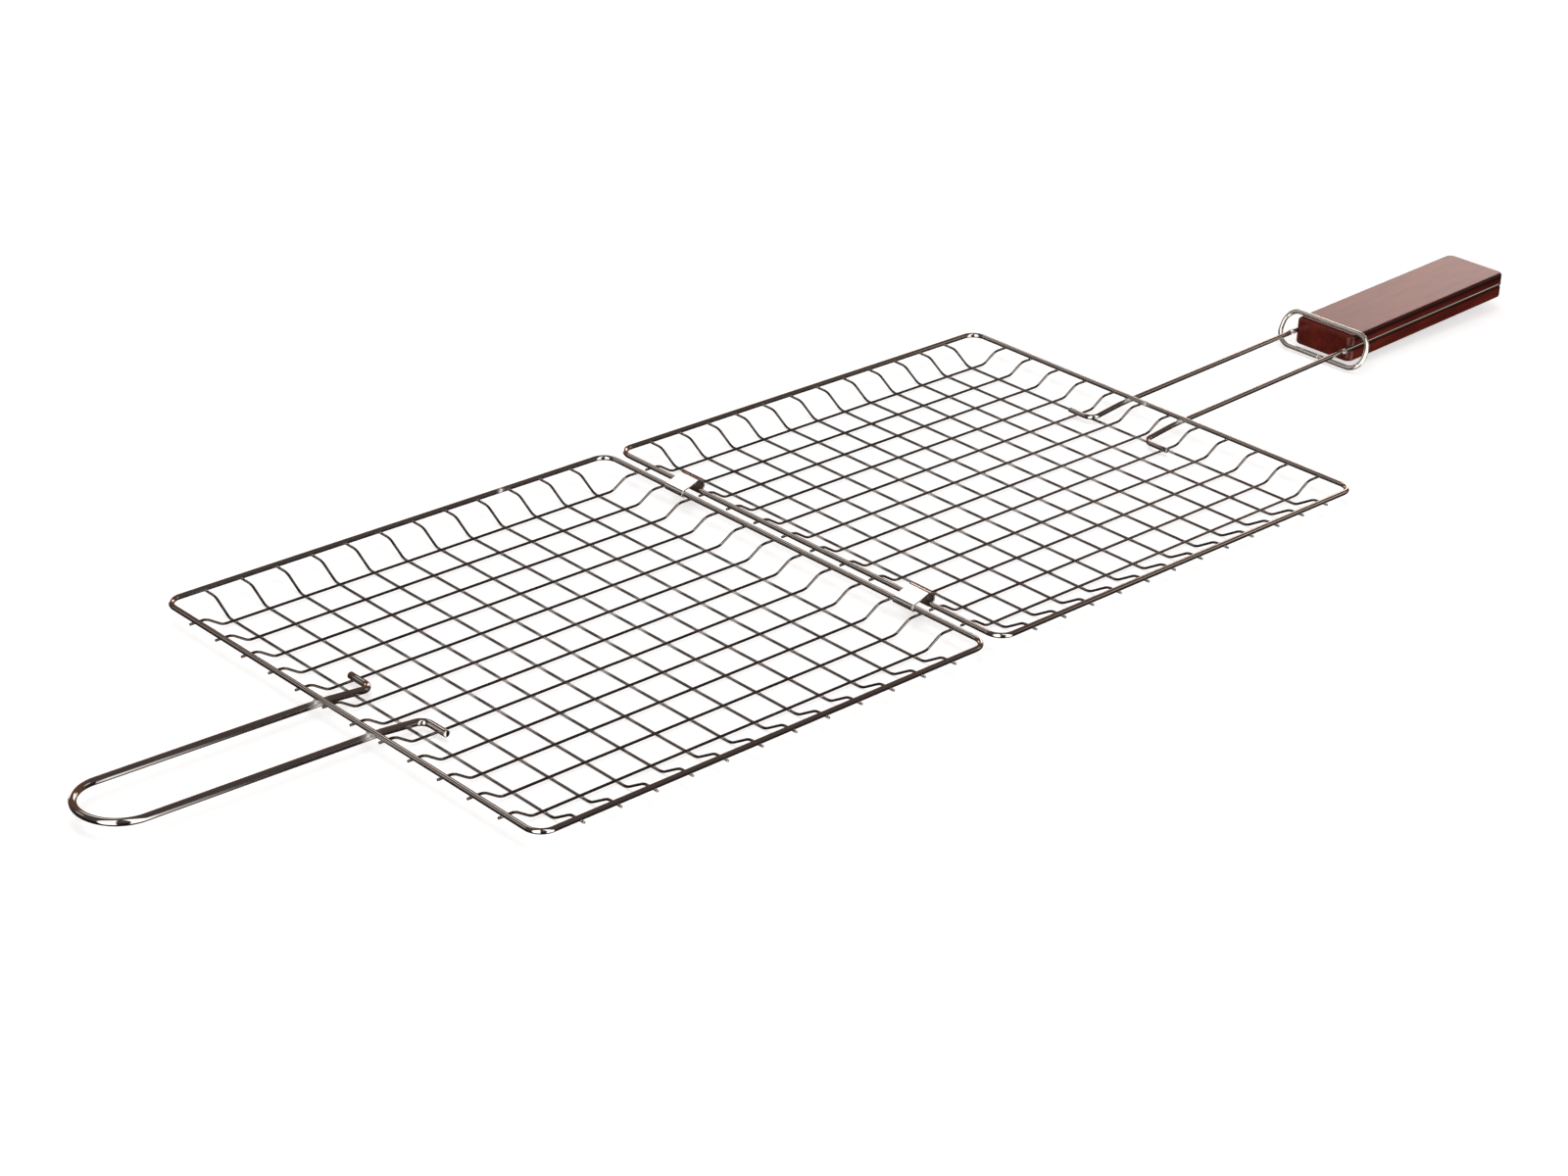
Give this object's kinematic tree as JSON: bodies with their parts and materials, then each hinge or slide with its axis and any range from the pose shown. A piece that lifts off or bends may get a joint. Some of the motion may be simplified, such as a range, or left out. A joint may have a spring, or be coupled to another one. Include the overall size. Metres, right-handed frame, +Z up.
{
  "type": "grill basket",
  "caption": "Folding wire grill basket laid open: two hinged shallow mesh trays, a wire loop handle, a long handle with a wooden grip and a sliding locking ring.",
  "frame": {"origin": "middle of the opened basket's footprint, on the surface it stands on", "axes": "+X along the length towards the wooden grip, +Y across, +Z up out of the open trays"},
  "size_m": [0.973, 0.2702, 0.0251],
  "materials": {
    "frame_wire": "bright chrome plate",
    "mesh_wire": "bright chrome plate",
    "sheet_steel": "bright chrome plate",
    "wood": "glossy red-brown stain"
  },
  "bodies": {
    "grip_half": {"grip_tray_rim": "frame_wire", "grip_tray_long_wire_01": "mesh_wire", "grip_tray_long_wire_02": "mesh_wire", "grip_tray_long_wire_03": "mesh_wire", "grip_tray_long_wire_04": "mesh_wire", "grip_tray_long_wire_05": "mesh_wire", "grip_tray_long_wire_06": "mesh_wire", "grip_tray_long_wire_07": "mesh_wire", "grip_tray_long_wire_08": "mesh_wire", "grip_tray_long_wire_09": "mesh_wire", "grip_tray_long_wire_10": "mesh_wire", "grip_tray_long_wire_11": "mesh_wire", "grip_tray_long_wire_12": "mesh_wire", "grip_tray_cross_wire_01": "mesh_wire", "grip_tray_cross_wire_02": "mesh_wire", "grip_tray_cross_wire_03": "mesh_wire", "grip_tray_cross_wire_04": "mesh_wire", "grip_tray_cross_wire_05": "mesh_wire", "grip_tray_cross_wire_06": "mesh_wire", "grip_tray_cross_wire_07": "mesh_wire", "grip_tray_cross_wire_08": "mesh_wire", "grip_tray_cross_wire_09": "mesh_wire", "grip_tray_cross_wire_10": "mesh_wire", "grip_tray_cross_wire_11": "mesh_wire", "grip_tray_cross_wire_12": "mesh_wire", "long_handle": "frame_wire", "wood_grip": "wood"},
    "hinge_clips": {"hinge_clip_left": "sheet_steel", "hinge_clip_right": "sheet_steel"},
    "loop_half": {"loop_tray_rim": "frame_wire", "loop_tray_long_wire_01": "mesh_wire", "loop_tray_long_wire_02": "mesh_wire", "loop_tray_long_wire_03": "mesh_wire", "loop_tray_long_wire_04": "mesh_wire", "loop_tray_long_wire_05": "mesh_wire", "loop_tray_long_wire_06": "mesh_wire", "loop_tray_long_wire_07": "mesh_wire", "loop_tray_long_wire_08": "mesh_wire", "loop_tray_long_wire_09": "mesh_wire", "loop_tray_long_wire_10": "mesh_wire", "loop_tray_long_wire_11": "mesh_wire", "loop_tray_long_wire_12": "mesh_wire", "loop_tray_cross_wire_01": "mesh_wire", "loop_tray_cross_wire_02": "mesh_wire", "loop_tray_cross_wire_03": "mesh_wire", "loop_tray_cross_wire_04": "mesh_wire", "loop_tray_cross_wire_05": "mesh_wire", "loop_tray_cross_wire_06": "mesh_wire", "loop_tray_cross_wire_07": "mesh_wire", "loop_tray_cross_wire_08": "mesh_wire", "loop_tray_cross_wire_09": "mesh_wire", "loop_tray_cross_wire_10": "mesh_wire", "loop_tray_cross_wire_11": "mesh_wire", "loop_tray_cross_wire_12": "mesh_wire", "loop_handle": "frame_wire"},
    "locking_ring": {"locking_ring": "frame_wire"}
  },
  "joints": [
    {"name": "clip_pivot", "type": "hinge", "parent": "grip_half", "child": "hinge_clips", "pos_m": [-0.07924, 0, 0.00935], "axis": [0, 1, 0], "range_deg": [0, 90]},
    {"name": "loop_half_pivot", "type": "hinge", "parent": "hinge_clips", "child": "loop_half", "pos_m": [-0.08774, 0, 0.00935], "axis": [0, 1, 0], "range_deg": [0, 90]},
    {"name": "ring_slide", "type": "slide", "parent": "grip_half", "child": "locking_ring", "axis": [-0.9994, 0, 0.0349], "range_m": [0, 0.08]}
  ]
}
